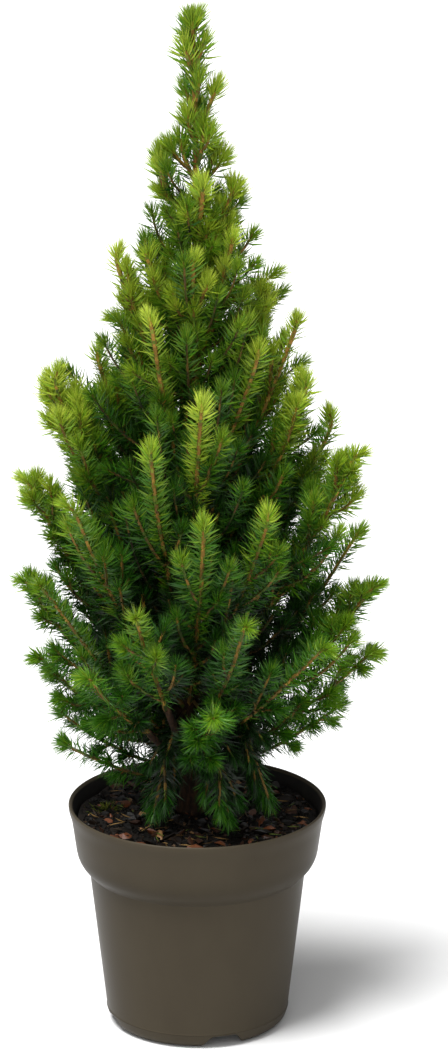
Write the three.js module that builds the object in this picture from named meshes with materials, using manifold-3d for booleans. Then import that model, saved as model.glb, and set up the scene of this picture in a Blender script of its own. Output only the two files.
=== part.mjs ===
// A dwarf Alberta spruce in a round plastic nursery pot. Millimetres, +Z up.
// The origin is the middle of the pot's underside, and the tree's front faces -Y.
// Bearings are degrees round the trunk from +X (the right-hand side) towards +Y (the back).

import * as THREE from "three";
import { mergeVertices } from "three/addons/utils/BufferGeometryUtils.js";
import Module from "manifold-3d";

const wasm = await Module();
wasm.setup();

// ---------- Driving dimensions ----------

const GAP = 0.3; // clearance between pieces that touch
const TURN_SEGMENTS = 28; // facets round the pot and the soil

const POT = {
  height: 116,
  lipRadius: 65, // the widest point, at the rolled lip
  lipOverhang: 2.4, // how far the lip stands out past the collar
  lipDepth: 6.8,
  collarHeight: 29.5, // from the rim down to the collar's lower edge
  collarDraft: 3, // how much the collar narrows on the way down
  stepDrop: 6, // height of the sloping step under the collar
  stepIn: 5,
  edgeRadius: 7.5, // rounding between the wall and the foot ring
  wallBottomRadius: 45.9,
  wall: 1.4,
  floor: 1.7,
  footWidth: 3, // the flat ring that the pot stands on
};

const NOTCH = { count: 4, firstBearing: -72, lowWidth: 23, highWidth: 13, height: 6.2, reach: 25 };
const DRAIN_HOLE = { radius: 4.5, fromAxis: 28, sides: 12 };

const SOIL = { edgeBelowRim: 9, crown: 3, landingRadius: 10 };

const TRUNK = {
  height: 411, // from the soil to the tip of the leader's stem
  tipRadius: 0.8,
  footRadius: 5.2,
  flare: 2.6, // extra radius of the root flare at the soil
  flareHeight: 7,
  flareLobes: 4,
  lobeDepth: 1.1,
  leanX: -3.2, // where the foot stands beside the pot's axis
  leanY: 2,
  sway: 1.6,
  rings: 12,
  sides: 8,
};

const BOUGH = { rootRadius: 2.7, endRadius: 1.7, share: 0.36, rings: 3, sides: 5 };
const FOLIAGE = {
  rings: 6,
  sides: 7,
  start: 0.16, // share of a plume's line that is bare where it has no bough
  unevenness: 0.15,
  baseShare: 0.3, // girth where a plume starts, as a share of its greatest
  tipShare: 0.5,
  tipBluntness: 0.55,
};
const LEADER = { bottom: 318, top: 421, girth: 16, topGirth: 8 }; // heights above the soil

// The higher its tip, the steeper a plume stands, towards a limit in degrees.
const CHORD = { steepest: 77, easing: 130 };
const LOWEST_ROOT = 12;

// One row for each mass of foliage on a plume: the bearing, reach from the trunk's axis and height
// above the soil of its tip, and its greatest radius. The rows run from the top of the tree down.
const PLUMES = [
  { name: "spire_front", bearing: -80, reach: 17, height: 338, girth: 8.5 },
  { name: "spire_right", bearing: -5, reach: 20, height: 335, girth: 9 },
  { name: "spire_left", bearing: 172, reach: 17, height: 351, girth: 8.5 },
  { name: "upper_left", bearing: -173, reach: 43, height: 302, girth: 15 },
  { name: "upper_front", bearing: -96, reach: 28, height: 304, girth: 12 },
  { name: "upper_front_right", bearing: -42, reach: 27, height: 312, girth: 11 },
  { name: "upper_left_inner", bearing: -158, reach: 29, height: 303, girth: 11 },
  { name: "upper_back", bearing: 98, reach: 34, height: 300, girth: 17 },
  { name: "upper_right_inner", bearing: 2, reach: 38, height: 282, girth: 12 },
  { name: "upper_front_left", bearing: -117, reach: 51, height: 279, girth: 13 },
  { name: "upper_right", bearing: -5, reach: 54, height: 268, girth: 12.5 },
  { name: "middle_left_inner", bearing: 168, reach: 54, height: 247, girth: 12 },
  { name: "middle_left", bearing: -171, reach: 75, height: 243, girth: 16 },
  { name: "middle_front", bearing: -88, reach: 60, height: 239, girth: 14 },
  { name: "middle_right", bearing: -14, reach: 60, height: 239, girth: 14 },
  { name: "middle_front_right", bearing: -40, reach: 43, height: 258, girth: 12 },
  { name: "middle_back_left", bearing: 132, reach: 58, height: 244, girth: 19 },
  { name: "middle_back_right", bearing: 56, reach: 60, height: 238, girth: 19 },
  { name: "middle_front_left", bearing: -110, reach: 70, height: 217, girth: 15 },
  { name: "shoulder_right_back", bearing: 10, reach: 73, height: 213, girth: 14 },
  { name: "shoulder_right", bearing: -13, reach: 84, height: 204, girth: 13.5, bough: true },
  { name: "shoulder_back_left", bearing: 138, reach: 80, height: 186, girth: 20 },
  { name: "shoulder_back_right", bearing: 70, reach: 80, height: 182, girth: 20 },
  { name: "shoulder_front_left", bearing: -139, reach: 84, height: 188, girth: 15 },
  { name: "shoulder_front", bearing: -87, reach: 81, height: 184, girth: 15 },
  { name: "shoulder_front_right", bearing: -60, reach: 75, height: 184, girth: 15 },
  { name: "shoulder_left", bearing: 179, reach: 87, height: 184, girth: 16, bough: true },
  { name: "lower_right_back", bearing: 20, reach: 90, height: 147, girth: 13 },
  { name: "lower_left_front", bearing: -153, reach: 90, height: 143, girth: 16 },
  { name: "lower_front_left", bearing: -110, reach: 91, height: 140, girth: 16, bough: true },
  { name: "lower_front_right", bearing: -74, reach: 91, height: 136, girth: 16, bough: true },
  { name: "lower_right", bearing: -6, reach: 94, height: 132, girth: 14.5, bough: true },
  { name: "lower_left", bearing: 175, reach: 91, height: 128, girth: 15, bough: true },
  { name: "lower_back_left", bearing: 128, reach: 93, height: 132, girth: 21, bough: true },
  { name: "lower_back_right", bearing: 68, reach: 94, height: 126, girth: 21, bough: true },
  { name: "lower_right_front", bearing: -38, reach: 84, height: 112, girth: 16 },
  { name: "skirt_left_front", bearing: -133, reach: 83, height: 98, girth: 14, bough: true },
  { name: "skirt_left_back", bearing: 172, reach: 85, height: 86, girth: 12 },
  { name: "skirt_right", bearing: 0, reach: 93, height: 92, girth: 10 },
  { name: "skirt_front", bearing: -84, reach: 84, height: 86, girth: 14 },
  { name: "skirt_back", bearing: 98, reach: 80, height: 72, girth: 17 },
  { name: "skirt_right_low", bearing: 7, reach: 79, height: 59, girth: 9 },
  { name: "skirt_left", bearing: 172, reach: 75, height: 56, girth: 9 },
  { name: "tuft_right", bearing: -25, reach: 52, height: 46, girth: 12 },
  { name: "tuft_left", bearing: 178, reach: 74, height: 40, girth: 8.5 },
  { name: "tuft_front", bearing: -68, reach: 56, height: 32, girth: 13 },
  { name: "tuft_front_left", bearing: -122, reach: 48, height: 24, girth: 12 },
];

const LOOKS = {
  pot: new THREE.MeshStandardMaterial({ color: 0x5f574c, roughness: 0.45, metalness: 0 }),
  soil: new THREE.MeshStandardMaterial({ color: 0x21150f, roughness: 0.95, metalness: 0 }),
  bark: new THREE.MeshStandardMaterial({ color: 0x6b4a2b, roughness: 0.9, metalness: 0 }),
  foliage: new THREE.MeshStandardMaterial({ color: 0x2f5f1c, roughness: 0.6, metalness: 0 }),
};

const SOIL_TOP = POT.height - SOIL.edgeBelowRim + SOIL.crown;

// ---------- Solids and meshes ----------

// A closed three.js geometry as a solid that can be joined and cut.
function toSolid(geometry) {
  const bare = geometry.clone();
  bare.deleteAttribute("normal");
  bare.deleteAttribute("uv");
  const merged = mergeVertices(bare, 1e-4);
  return new wasm.Manifold(
    new wasm.Mesh({
      numProp: 3,
      vertProperties: merged.getAttribute("position").array,
      triVerts: new Uint32Array(merged.index.array),
    }),
  );
}

// A solid as a named three.js mesh.
function toMesh(name, solid, material) {
  const { numProp, vertProperties, triVerts } = solid.getMesh();
  const positions = [];
  for (let i = 0; i < vertProperties.length; i += numProp) {
    positions.push(...vertProperties.subarray(i, i + 3));
  }
  const geometry = new THREE.BufferGeometry()
    .setAttribute("position", new THREE.Float32BufferAttribute(positions, 3))
    .setIndex(new THREE.BufferAttribute(triVerts, 1));
  geometry.computeVertexNormals();
  const mesh = new THREE.Mesh(geometry, material);
  mesh.name = name;
  return mesh;
}

// The largest body of a solid that a cut has left in several.
function largestBody(solid) {
  return solid.decompose().reduce((a, b) => (b.volume() > a.volume() ? b : a));
}

// A profile of [radius, height] corners, turned about the Z axis.
function turned(corners) {
  const points = corners.map(([radius, z]) => new THREE.Vector2(radius, z));
  return toSolid(new THREE.LatheGeometry(points, TURN_SEGMENTS).rotateX(Math.PI / 2));
}

// A closed skin over rings of points, capped at both ends by a fan to the ring's own middle.
function loft(rings) {
  const sides = rings[0].length;
  const positions = rings.flat().flatMap((p) => p.toArray());
  const indices = [];
  for (let r = 0; r + 1 < rings.length; r++) {
    for (let s = 0; s < sides; s++) {
      const a = r * sides + s;
      const b = r * sides + ((s + 1) % sides);
      indices.push(a, b, b + sides, a, b + sides, a + sides);
    }
  }
  const cap = (r, flip) => {
    const middle = rings[r].reduce((sum, p) => sum.add(p), new THREE.Vector3()).divideScalar(sides);
    const hub = positions.length / 3;
    positions.push(...middle.toArray());
    for (let s = 0; s < sides; s++) {
      const a = r * sides + s;
      const b = r * sides + ((s + 1) % sides);
      indices.push(hub, ...(flip ? [b, a] : [a, b]));
    }
  };
  cap(0, true);
  cap(rings.length - 1, false);
  return new THREE.BufferGeometry()
    .setAttribute("position", new THREE.Float32BufferAttribute(positions, 3))
    .setIndex(indices);
}

// Rings round a curve from one share of its length to another. radiusAt gives a point's distance
// from the curve, from how far along the rings it is and which ring and side it is on.
function ringsAlong(curve, [from, to], count, sides, radiusAt) {
  const side = new THREE.Vector3();
  const up = new THREE.Vector3();
  return Array.from({ length: count }, (_, r) => {
    const share = r / (count - 1);
    const t = from + (to - from) * share;
    const centre = curve.getPoint(t);
    const tangent = curve.getTangent(t);
    side.set(-tangent.y, tangent.x, 0).normalize();
    up.crossVectors(tangent, side);
    return Array.from({ length: sides }, (_, s) => {
      const angle = (s / sides) * 2 * Math.PI;
      const radius = radiusAt(share, r, s);
      return centre
        .clone()
        .addScaledVector(side, radius * Math.cos(angle))
        .addScaledVector(up, radius * Math.sin(angle));
    });
  });
}

// A repeatable stream of numbers from 0 to 1.
function seeded(seed) {
  let state = seed;
  return () => {
    state = (state * 1664525 + 1013904223) >>> 0;
    return state / 2 ** 32;
  };
}

// ---------- Pot ----------

const innerWall = []; // the pot's inner corners, from the rim to the floor, which the soil follows

function potProfile() {
  const { height, lipRadius, wall, edgeRadius } = POT;
  const footOut = POT.wallBottomRadius - edgeRadius;
  const footIn = footOut - POT.footWidth;
  const floorUnder = NOTCH.height + 0.2;
  const floorTop = floorUnder + POT.floor;
  const collarTop = [lipRadius - POT.lipOverhang, height - POT.lipDepth];
  const collarLow = [collarTop[0] - POT.collarDraft, height - POT.collarHeight];
  const wallTop = [collarLow[0] - POT.stepIn, collarLow[1] - POT.stepDrop];

  const edge = [1, 2, 3].map((i) => {
    const angle = (i / 3) * (Math.PI / 2);
    return [footOut + edgeRadius * Math.sin(angle), edgeRadius * (1 - Math.cos(angle))];
  });
  const step = [wallTop[0] + 0.6 * POT.stepIn, wallTop[1] + 0.45 * POT.stepDrop];
  const lip = [
    [lipRadius, height - 0.7 * POT.lipDepth],
    [lipRadius - 0.4, height - 0.8],
    [lipRadius - 1.4, height],
    [lipRadius - 2.8, height - 0.4],
  ];
  innerWall.push(
    [collarTop[0] - wall, collarTop[1]],
    [collarLow[0] - wall, collarLow[1] + 1],
    [wallTop[0] - wall, wallTop[1] + 1],
    [POT.wallBottomRadius - wall, floorTop],
  );
  return [
    [0, floorUnder],
    [footIn, floorUnder],
    [footIn, 0],
    [footOut, 0],
    ...edge,
    wallTop,
    step,
    collarLow,
    collarTop,
    ...lip,
    ...innerWall,
    [0, floorTop],
  ];
}

// A wedge that cuts one notch through the foot ring: wide at the ground and narrower above.
function notchCutter(bearing) {
  const shape = new THREE.Shape([
    new THREE.Vector2(-NOTCH.lowWidth / 2, -1),
    new THREE.Vector2(NOTCH.lowWidth / 2, -1),
    new THREE.Vector2(NOTCH.highWidth / 2, NOTCH.height),
    new THREE.Vector2(-NOTCH.highWidth / 2, NOTCH.height),
  ]);
  const past = 8; // how far the cutter runs out past the wall
  const geometry = new THREE.ExtrudeGeometry(shape, { depth: NOTCH.reach, bevelEnabled: false })
    .translate(0, 0, POT.wallBottomRadius - NOTCH.reach + past)
    .rotateX(Math.PI / 2)
    .rotateZ(Math.PI + THREE.MathUtils.degToRad(bearing - 90));
  return toSolid(geometry);
}

function drainHoleCutter(bearing) {
  const angle = THREE.MathUtils.degToRad(bearing);
  const { radius, sides } = DRAIN_HOLE;
  const geometry = new THREE.CylinderGeometry(radius, radius, 4 * POT.floor, sides)
    .rotateX(Math.PI / 2)
    .translate(
      DRAIN_HOLE.fromAxis * Math.cos(angle),
      DRAIN_HOLE.fromAxis * Math.sin(angle),
      NOTCH.height + POT.floor / 2,
    );
  return toSolid(geometry);
}

function pot() {
  let solid = turned(potProfile());
  for (let i = 0; i < NOTCH.count; i++) {
    const bearing = NOTCH.firstBearing + (i * 360) / NOTCH.count;
    solid = solid.subtract(notchCutter(bearing)).subtract(drainHoleCutter(bearing));
  }
  return solid;
}

// The growing medium fills the pot to a little below its rim and rises slightly to the trunk.
function soil() {
  const edgeZ = POT.height - SOIL.edgeBelowRim;
  const [top, collar] = innerWall;
  const share = (edgeZ - collar[1]) / (top[1] - collar[1]);
  const edgeRadius = collar[0] + share * (top[0] - collar[0]) - GAP;
  const sides = innerWall.slice(1).map(([radius, z]) => [radius - GAP, z + GAP]);
  return turned([
    [0, sides.at(-1)[1]],
    ...sides.reverse(),
    [edgeRadius, edgeZ],
    [SOIL.landingRadius, SOIL_TOP],
    [0, SOIL_TOP],
  ]);
}

// ---------- Trunk and boughs ----------

// The trunk's centreline, by height above the soil.
class TrunkLine extends THREE.Curve {
  getPoint(t, target = new THREE.Vector3()) {
    const drift = TRUNK.sway * Math.sin(2.2 * Math.PI * t);
    return target.set(
      TRUNK.leanX * (1 - 0.8 * t) - drift,
      TRUNK.leanY * (1 - t) + 0.5 * drift,
      SOIL_TOP + GAP + TRUNK.height * t,
    );
  }
}

const trunkLine = new TrunkLine();

function trunkRadius(height) {
  const taper = (1 - Math.min(height / TRUNK.height, 1)) ** 0.9;
  const flare = TRUNK.flare * Math.exp(-height / TRUNK.flareHeight);
  return TRUNK.tipRadius + (TRUNK.footRadius - TRUNK.tipRadius) * taper + flare;
}

// The rings crowd towards the foot, where the root flare needs them. Each lies level.
function trunk(extra = 0) {
  const rings = Array.from({ length: TRUNK.rings }, (_, r) => {
    const t = (r / (TRUNK.rings - 1)) ** 1.7;
    const centre = trunkLine.getPoint(t);
    const height = TRUNK.height * t;
    return Array.from({ length: TRUNK.sides }, (_, s) => {
      const angle = (s / TRUNK.sides) * 2 * Math.PI;
      const lobes = Math.cos(TRUNK.flareLobes * angle) * Math.exp(-height / TRUNK.flareHeight);
      const radius = trunkRadius(height) + TRUNK.lobeDepth * lobes + extra;
      return centre
        .clone()
        .add(new THREE.Vector3(radius * Math.cos(angle), radius * Math.sin(angle), 0));
    });
  });
  return toSolid(loft(rings));
}

// The line of a plume: out of the trunk, then bending up to the tip.
function plumeLine({ bearing, reach, height }) {
  const angle = THREE.MathUtils.degToRad(bearing);
  const slope = CHORD.steepest * (1 - Math.exp(-height / CHORD.easing));
  const fall = reach * Math.tan(THREE.MathUtils.degToRad(slope));
  const root = trunkLine.getPoint(Math.max(LOWEST_ROOT, height - fall) / TRUNK.height);
  const tip = new THREE.Vector3(
    reach * Math.cos(angle),
    reach * Math.sin(angle),
    SOIL_TOP + height,
  );
  const bend = root.clone().lerp(tip, 0.6);
  bend.z = root.z + 0.45 * (tip.z - root.z);
  return new THREE.QuadraticBezierCurve3(root, bend, tip);
}

function bough(line, extra = 0) {
  const share = BOUGH.share + extra / line.getLength();
  const rings = ringsAlong(line, [0, share], BOUGH.rings, BOUGH.sides, (along) => {
    return BOUGH.rootRadius + (BOUGH.endRadius - BOUGH.rootRadius) * along + extra;
  });
  return toSolid(loft(rings));
}

// ---------- Foliage ----------

// How full a plume is along its length: slim where it starts, full in the middle, blunt at the tip.
function fullness(along) {
  const swell = Math.sin(Math.PI * Math.min(1, along * 0.95 + 0.04)) ** 0.6;
  const ends = FOLIAGE.baseShare + (FOLIAGE.tipShare - FOLIAGE.baseShare) * along;
  return ends + (1 - ends) * swell;
}

function plumeMass({ girth, bough: onBough }, line, seed, extra = 0) {
  const random = seeded(seed);
  const lumps = Array.from({ length: FOLIAGE.rings * FOLIAGE.sides }, () => {
    return 1 + FOLIAGE.unevenness * (2 * random() - 1);
  });
  const start = onBough ? BOUGH.share + (1.3 * GAP - extra) / line.getLength() : FOLIAGE.start;
  const rings = ringsAlong(line, [start, 1], FOLIAGE.rings, FOLIAGE.sides, (along, r, s) => {
    const lump = lumps[r * FOLIAGE.sides + s];
    const blunt = r === FOLIAGE.rings - 1 ? FOLIAGE.tipBluntness : 1;
    return girth * fullness(along) * blunt * lump + extra;
  });
  return toSolid(loft(rings));
}

// The leader's foliage is a sleeve round the top of the trunk.
function leaderMass(extra = 0) {
  const random = seeded(7);
  const count = FOLIAGE.rings;
  const rings = Array.from({ length: count }, (_, r) => {
    const along = r / (count - 1);
    const height = LEADER.bottom + (LEADER.top - LEADER.bottom) * along;
    const centre = trunkLine.getPoint(Math.min(1, height / TRUNK.height));
    centre.z = SOIL_TOP + height;
    const blunt = r === count - 1 ? FOLIAGE.tipBluntness : 1;
    const girth = LEADER.girth + (LEADER.topGirth - LEADER.girth) * along;
    return Array.from({ length: FOLIAGE.sides }, (_, s) => {
      const angle = (s / FOLIAGE.sides) * 2 * Math.PI;
      const lump = 1 + FOLIAGE.unevenness * (2 * random() - 1);
      const radius = girth * blunt * lump + extra;
      return centre
        .clone()
        .add(new THREE.Vector3(radius * Math.cos(angle), radius * Math.sin(angle), 0));
    });
  });
  return toSolid(loft(rings));
}

// ---------- Assembly ----------

const plant = new THREE.Group();
plant.name = "potted_spruce";

plant.add(toMesh("pot", pot(), LOOKS.pot));
plant.add(toMesh("soil", soil(), LOOKS.soil));
plant.add(toMesh("trunk", trunk(), LOOKS.bark));

// Each new piece is cut by everything placed so far, grown by the clearance.
let taken = trunk(GAP);

function place(name, shape, material) {
  plant.add(toMesh(name, largestBody(shape().subtract(taken)), material));
  taken = taken.add(shape(GAP));
}

const lines = PLUMES.map(plumeLine);
PLUMES.forEach((plume, i) => {
  if (plume.bough) place(`bough_${plume.name}`, (extra) => bough(lines[i], extra), LOOKS.bark);
});
place("mass_leader", leaderMass, LOOKS.foliage);
PLUMES.forEach((plume, i) => {
  const shape = (extra) => plumeMass(plume, lines[i], i + 1, extra);
  place(`mass_${plume.name}`, shape, LOOKS.foliage);
});

export default plant;
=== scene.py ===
"""A young cone-shaped spruce in a plastic nursery pot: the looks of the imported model."""

import math
from dataclasses import dataclass

import bmesh
import bpy
import numpy as np
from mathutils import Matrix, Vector, noise
from mathutils.bvhtree import BVHTree


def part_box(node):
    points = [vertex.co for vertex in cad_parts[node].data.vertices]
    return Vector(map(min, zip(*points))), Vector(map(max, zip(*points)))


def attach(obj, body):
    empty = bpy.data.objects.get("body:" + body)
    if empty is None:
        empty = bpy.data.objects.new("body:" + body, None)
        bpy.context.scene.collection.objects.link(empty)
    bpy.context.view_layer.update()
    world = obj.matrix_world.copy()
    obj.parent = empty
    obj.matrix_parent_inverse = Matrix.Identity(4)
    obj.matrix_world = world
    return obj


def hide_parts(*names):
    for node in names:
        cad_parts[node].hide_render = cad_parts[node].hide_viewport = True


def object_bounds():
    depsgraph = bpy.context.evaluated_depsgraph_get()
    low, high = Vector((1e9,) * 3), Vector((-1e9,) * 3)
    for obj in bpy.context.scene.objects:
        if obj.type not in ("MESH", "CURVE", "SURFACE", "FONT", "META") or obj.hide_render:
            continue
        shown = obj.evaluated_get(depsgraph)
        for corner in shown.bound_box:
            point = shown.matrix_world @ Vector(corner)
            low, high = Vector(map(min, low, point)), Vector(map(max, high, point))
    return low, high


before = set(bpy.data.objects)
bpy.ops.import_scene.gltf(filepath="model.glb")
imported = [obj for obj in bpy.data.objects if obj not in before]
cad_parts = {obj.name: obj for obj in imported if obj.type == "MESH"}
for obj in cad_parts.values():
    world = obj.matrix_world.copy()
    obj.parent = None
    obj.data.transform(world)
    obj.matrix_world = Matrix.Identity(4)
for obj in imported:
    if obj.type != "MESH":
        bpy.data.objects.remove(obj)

CAD_BOX = [list(corner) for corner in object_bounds()]

MM = 0.001
GOLDEN_ANGLE = math.pi * (3 - math.sqrt(5))
UP = np.array([0.0, 0.0, 1.0])

SOIL_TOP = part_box("soil")[1][2]
PLANT_TOP = CAD_BOX[1][2]

NEEDLE_PIECE_LIMIT = 195000  # triangles in one joined piece
ROUND_SIDES = 150  # of the pot and the soil


# ----- Colours and plain materials -----

def linear(colour):
    """A display colour, 0 to 255, as the linear colour that a shader takes."""
    shares = [channel / 255 for channel in colour]
    return [((share + 0.055) / 1.055) ** 2.4 if share > 0.04 else share / 12.92 for share in shares] + [1.0]


def new_material(name, colour, roughness, specular):
    material = bpy.data.materials.new(name)
    material.use_nodes = True
    shader = material.node_tree.nodes["Principled BSDF"]
    shader.inputs["Base Color"].default_value = colour
    shader.inputs["Roughness"].default_value = roughness
    shader.inputs["Specular IOR Level"].default_value = specular
    return material


def plain_materials(name, colours, roughness, specular):
    return [new_material(f"{name}_{i}", linear(c), roughness, specular) for i, c in enumerate(colours)]


# Needles, from the oldest in the shade to the newest at the tips, in the lower and the upper crown.
DEEP_GREENS = [
    (6, 24, 2), (15, 47, 4), (30, 73, 8), (52, 99, 12),
    (77, 117, 20), (101, 139, 25), (124, 157, 35), (148, 174, 52),
]
OLIVE_GREENS = [
    (9, 27, 2), (22, 50, 3), (42, 77, 7), (68, 103, 11),
    (95, 122, 22), (118, 142, 28), (140, 160, 38), (161, 178, 56),
]
NEEDLE_LEVELS = len(DEEP_GREENS)
NEEDLE_MATERIALS = plain_materials("needle", DEEP_GREENS + OLIVE_GREENS, 0.42, 0.24)

# Twigs, from old grey-brown wood to this year's shoots.
TWIG_COLOURS = [(38, 30, 14), (68, 53, 22), (94, 72, 27), (118, 88, 32), (142, 108, 42)]
GREEN_TWIG_COLOURS = [(22, 28, 8), (40, 52, 12), (60, 76, 18), (82, 96, 24), (110, 118, 36)]
TWIG_LEVELS = len(TWIG_COLOURS)
GREEN_PATCHES = 0.25  # share of a twig's bark that is green
THICK_TWIG = 1.35 * MM  # a twig with a thicker root is drawn finer
TWIG_MATERIALS = plain_materials("twig", TWIG_COLOURS + GREEN_TWIG_COLOURS, 0.7, 0.25)


# ----- Vectors and paths -----

def unit(vectors):
    """Vectors at length one, along the last axis."""
    return vectors / np.maximum(np.linalg.norm(vectors, axis=-1, keepdims=True), 1e-12)


def path_lengths(points):
    steps = np.linalg.norm(np.diff(points, axis=0), axis=1)
    return np.concatenate([[0], np.cumsum(steps)])


def at_lengths(points, distances):
    """Points on a path at these distances from its start."""
    lengths = path_lengths(points)
    return np.stack([np.interp(distances, lengths, points[:, k]) for k in range(3)], axis=1)


def respaced(points, step):
    total = path_lengths(points)[-1]
    count = max(2, int(round(total / step)) + 1)
    return at_lengths(points, np.linspace(0, total, count))


def softened(places, step):
    """A path by these places, with its corners cut and points at even steps."""
    points = np.vstack(places)
    for _ in range(3):
        near = 0.75 * points[:-1] + 0.25 * points[1:]
        far = 0.25 * points[:-1] + 0.75 * points[1:]
        inner = np.stack([near, far], axis=1).reshape(-1, 3)
        points = np.vstack([points[:1], inner, points[-1:]])
    return respaced(points, step)


def arc(start, control, end, count=9):
    """A path that leaves start towards control and bends to end."""
    t = np.linspace(0, 1, count)[:, None]
    return (1 - t) ** 2 * start + 2 * t * (1 - t) * control + t**2 * end


def across(tangents):
    """Two directions square to each tangent."""
    helper = np.where(np.abs(tangents[..., 2:3]) > 0.9, [1.0, 0.0, 0.0], UP)
    side = unit(np.cross(tangents, helper))
    return side, np.cross(side, tangents)


def square_to(tangent, angle):
    """The direction square to a tangent at this angle round it."""
    side, other = across(tangent)
    return math.cos(angle) * side + math.sin(angle) * other


def tangents_at(points, distances, reach):
    """The way a path heads at these distances, taken over reach to either side."""
    total = path_lengths(points)[-1]
    ahead = at_lengths(points, np.minimum(distances + reach, total))
    behind = at_lengths(points, np.maximum(distances - reach, 0))
    return unit(ahead - behind)


def heading(angle):
    """The level direction at this angle from the X axis."""
    return np.array([math.cos(angle), math.sin(angle), 0.0])


def turns_round(sides):
    return 2 * math.pi * np.arange(sides) / sides


# ----- Shapes read from the CAD nodes -----

SURFACE_SAMPLES = 3000
TRUNK_RING_GAP = 1.2 * MM  # between the heights of two of the CAD trunk's rings, at least


def node_arrays(name):
    """The corner points and triangles of a CAD node."""
    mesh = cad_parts[name].data
    mesh.calc_loop_triangles()
    points = np.empty(3 * len(mesh.vertices))
    mesh.vertices.foreach_get("co", points)
    triangles = np.empty(3 * len(mesh.loop_triangles), dtype=np.int32)
    mesh.loop_triangles.foreach_get("vertices", triangles)
    return points.reshape(-1, 3), triangles.reshape(-1, 3)


def node_tree(name):
    points, triangles = node_arrays(name)
    return BVHTree.FromPolygons(points.tolist(), triangles.tolist())


def surface_samples(name, count, rng):
    """Points spread evenly over a CAD node's surface."""
    points, triangles = node_arrays(name)
    a, b, c = (points[triangles[:, k]] for k in range(3))
    areas = np.linalg.norm(np.cross(b - a, c - a), axis=1)
    picked = rng.choice(len(triangles), count, p=areas / areas.sum())
    u = rng.random((count, 1))
    v = rng.random((count, 1))
    folded = u + v > 1
    u = np.where(folded, 1 - u, u)
    v = np.where(folded, 1 - v, v)
    return a[picked] + u * (b - a)[picked] + v * (c - a)[picked]


def middle_line(name, rng, slabs=6):
    """The line along the middle of a bough or mass, from its inner end to its tip."""
    samples = surface_samples(name, SURFACE_SAMPLES, rng)
    tip = samples[np.argmax(np.linalg.norm(samples - TRUNK_FOOT, axis=1))]
    base = samples[np.argmax(np.linalg.norm(samples - tip, axis=1))]
    along = (samples - base) @ unit(tip - base)
    edges = np.linspace(0, np.linalg.norm(tip - base), slabs + 1)
    centres = []
    for low, high in zip(edges[:-1], edges[1:]):
        centres.append(samples[(along >= low) & (along <= high)].mean(axis=0))
    return np.vstack([centres, tip])


def farthest_room(tree, start, direction):
    """How far away the last surface of a mass is; some have a hollow round the trunk."""
    start = Vector(start)
    direction = Vector(direction)
    past = 0.1 * MM  # from a surface to the next ray's start
    total = 0.0
    while True:
        distance = tree.ray_cast(start, direction)[3]
        if distance is None:
            return total
        total += distance + past
        start = start + (distance + past) * direction


# ----- Trunk line -----

def trunk_sections():
    """Height, middle and radius of the CAD trunk, ring by ring."""
    points, _ = node_arrays("trunk")
    points = points[np.argsort(points[:, 2])]
    breaks = np.flatnonzero(np.diff(points[:, 2]) > TRUNK_RING_GAP) + 1
    sections = []
    for ring in np.split(points, breaks):
        middle = ring.mean(axis=0)
        sections.append([*middle, np.linalg.norm(ring - middle, axis=1).mean()])
    return np.array(sections)


TRUNK = trunk_sections()


def trunk_point(height):
    """The middle of the trunk at this height."""
    return np.array([np.interp(height, TRUNK[:, 2], TRUNK[:, k]) for k in range(2)] + [height])


TRUNK_FOOT = trunk_point(SOIL_TOP)
TRUNK_TIP = TRUNK[-1, 2]


# ----- Shoots -----

@dataclass
class Habit:
    """How the shoots of one tier grow. Lengths are in millimetres, and angles in degrees."""

    clean: float  # share of a main stem, back from its tip, without side shoots
    gap: float  # between side shoots
    taper: float  # how fast side shoots get longer away from the tip
    longest: float
    lean: tuple  # how far a side shoot leans from its stem
    short: float  # share of the side shoots that are short and stiff
    upright: float  # how strongly a side shoot turns up
    opening: float  # how far needles stand from their shoot
    needle: float  # length
    droop: float  # 0 for needles that point forward, 1 for needles that hang
    beyond: float  # how far past its mass a side shoot may end
    leafy: float  # how dense needles are below the tips, against their kind
    tip_opening: float  # the same at its tip


HABITS = {
    "skirt": Habit(0.24, 6, 0.4, 30, (34, 56), 0.5, 0.3, 68, 9.8, 0.35, -3.5, 0.55, 26),
    "tuft": Habit(0.25, 4.5, 0.6, 22, (16, 40), 0, -0.5, 58, 9.2, 0.3, -3.5, 0.7, 28),
    "lower": Habit(0.44, 4.6, 0.5, 46, (28, 50), 0.3, 0.7, 64, 9.6, 0, 0, 0.72, 22),
    "shoulder": Habit(0.44, 4, 0.6, 58, (26, 46), 0.3, 0.7, 62, 9.8, 0, 0, 0.8, 20),
    "middle": Habit(0.46, 4, 0.6, 58, (22, 42), 0.28, 0.8, 60, 10, 0, -1, 0.85, 20),
    "upper": Habit(0.6, 5.4, 0.52, 44, (18, 34), 0.2, 0.9, 54, 9.8, 0, -2, 0.48, 16),
    "spire": Habit(0.3, 6.8, 0.42, 26, (24, 38), 0.2, 0.7, 54, 11.2, 0, 1, 0.44, 14),
    "leader": Habit(0.05, 6.6, 0.3, 24, (30, 44), 0, 0.5, 52, 12.8, 0, 3.5, 0.38, 14),
    "lone": Habit(0.45, 8, 0.4, 15, (44, 60), 1, 0, 70, 10, 0.3, -3.5, 0.45, 28),
}


@dataclass
class Kind:
    """A kind of shoot."""

    radii: tuple  # at its root and its tip, in millimetres
    density: float  # needles to the metre
    wood: float  # which twig colour, from 0 for the oldest


MAIN_STEM = Kind((1.75, 1.3), 9800, 2.8)
LEADER = Kind((0, 1.3), 5880, 2.8)  # the trunk is its wood
SIDE_SHOOT = Kind((1.3, 1), 8600, 2.4)
FORK = Kind((0.9, 0.75), 8600, 2.4)
BOUGH_SHOOT = Kind((0.9, 0.7), 8600, 1.6)
INNER_SHOOT = Kind((0.8, 0.5), 4200, 0.8)


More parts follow.
